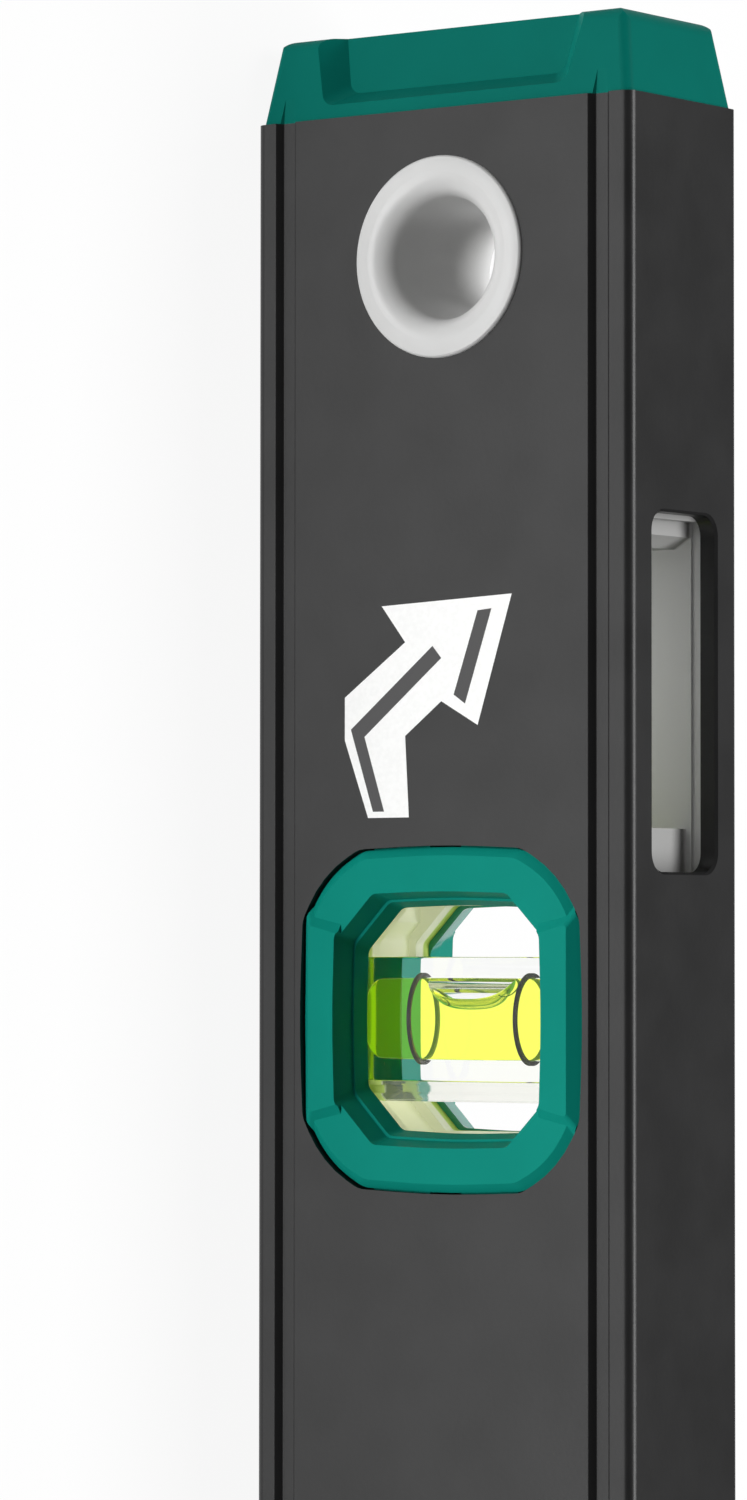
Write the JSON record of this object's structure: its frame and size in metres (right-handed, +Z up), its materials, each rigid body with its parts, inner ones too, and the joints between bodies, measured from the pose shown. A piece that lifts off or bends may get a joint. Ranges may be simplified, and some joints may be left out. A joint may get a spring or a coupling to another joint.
{
  "type": "box beam spirit level",
  "caption": "Box beam spirit level with plumb and centre block vials, clear see-through stations, a mirror reading window, moulded end caps and a lined hanging hole.",
  "frame": {"origin": "centre of the measuring edge that the level lies on, halfway along its length", "axes": "+X along the beam away from the hanging hole, +Y through the thickness towards the back face, +Z up across the width towards the reading windows"},
  "size_m": [0.6, 0.0266, 0.06],
  "materials": {
    "grey_beam": "satin powder coat",
    "teal_plastic": "smooth satin",
    "clear_block": "clear polished",
    "clear_holder": "clear polished",
    "clear_plug": "clear polished",
    "vial_liquid": "clear yellow-green liquid",
    "black_ring": "matte",
    "pale_liner": "smooth satin",
    "pale_carrier": "smooth satin",
    "mirror_face": "polished",
    "pale_rivet": "smooth"
  },
  "bodies": {
    "root": {"box_profile": "grey_beam", "carrier_rivet": "pale_rivet", "centre_back_bezel": "teal_plastic", "centre_front_bezel": "teal_plastic", "centre_lower_ring": "black_ring", "centre_upper_ring": "black_ring", "centre_vial_block": "clear_block", "centre_vial_holder": "clear_holder", "centre_vial_liquid": "vial_liquid", "centre_vial_plug": "clear_plug", "far_end_cap": "teal_plastic", "far_plumb_back_bezel": "teal_plastic", "far_plumb_front_bezel": "teal_plastic", "far_plumb_lower_ring": "black_ring", "far_plumb_upper_ring": "black_ring", "far_plumb_vial_block": "clear_block", "far_plumb_vial_holder": "clear_holder", "far_plumb_vial_liquid": "vial_liquid", "far_plumb_vial_plug": "clear_plug", "hanging_end_cap": "teal_plastic", "hanging_hole_liner": "pale_liner", "mirror_carrier": "pale_carrier", "plumb_back_bezel": "teal_plastic", "plumb_front_bezel": "teal_plastic", "plumb_lower_ring": "black_ring", "plumb_mirror": "mirror_face", "plumb_upper_ring": "black_ring", "plumb_vial_block": "clear_block", "plumb_vial_holder": "clear_holder", "plumb_vial_liquid": "vial_liquid", "plumb_vial_plug": "clear_plug"}
  },
  "joints": []
}
